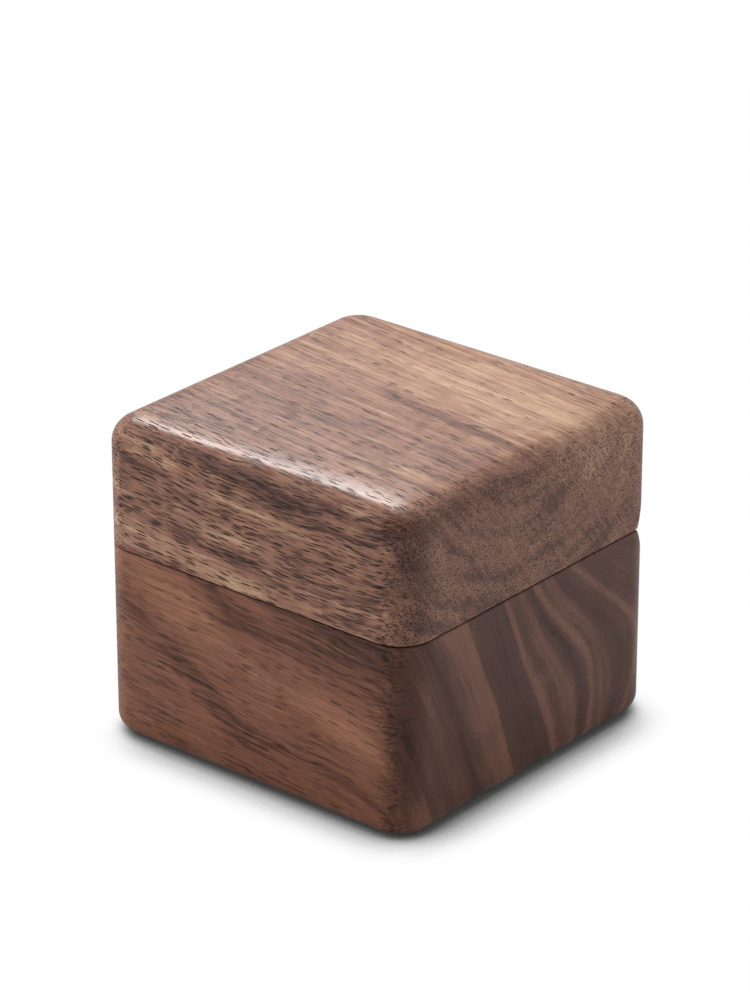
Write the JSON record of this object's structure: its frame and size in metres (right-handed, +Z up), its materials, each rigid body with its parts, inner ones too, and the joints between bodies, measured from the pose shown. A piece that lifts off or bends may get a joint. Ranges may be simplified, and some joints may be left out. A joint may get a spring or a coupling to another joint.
{
  "type": "jewelry box",
  "caption": "Square walnut jewelry box with softly rounded edges, a rear-hinged lid on concealed barrel hinges, a magnetic closure and a slotted cushion inside.",
  "frame": {"origin": "middle of the underside, on the surface that the box stands on", "axes": "+Z up through the lid, +X to the right along the front, front face towards -Y, hinge at the back towards +Y"},
  "size_m": [0.06, 0.06, 0.052],
  "materials": {
    "walnut_base": "oiled satin walnut, reddish brown with dark bands",
    "walnut_lid": "oiled satin walnut, lighter taupe brown",
    "lining_cloth": "microfibre suede over card",
    "cushion_cloth": "microfibre suede over foam",
    "card": "grey board",
    "foam": "soft foam",
    "brass": "turned brass",
    "pin_steel": "bright steel rivet",
    "magnet_nickel": "nickel plate"
  },
  "bodies": {
    "base": {"base_body": "walnut_base", "base_lining": "lining_cloth", "base_board": "card", "base_foam": "foam", "slot_roll_front": "cushion_cloth", "slot_roll_rear": "cushion_cloth", "hinge_left_base_barrel": "brass", "hinge_left_pin": "pin_steel", "base_magnet_left": "magnet_nickel", "hinge_right_base_barrel": "brass", "hinge_right_pin": "pin_steel", "base_magnet_right": "magnet_nickel"},
    "lid": {"lid_body": "walnut_lid", "lid_lining": "lining_cloth", "lid_board": "card", "lid_pad": "cushion_cloth", "hinge_left_lid_barrel": "brass", "lid_magnet_left": "magnet_nickel", "hinge_right_lid_barrel": "brass", "lid_magnet_right": "magnet_nickel"}
  },
  "joints": [
    {"name": "lid_hinge", "type": "hinge", "parent": "base", "child": "lid", "pos_m": [0, 0.0256, 0.0315], "axis": [-1, 0, 0], "range_deg": [0, 115]}
  ]
}
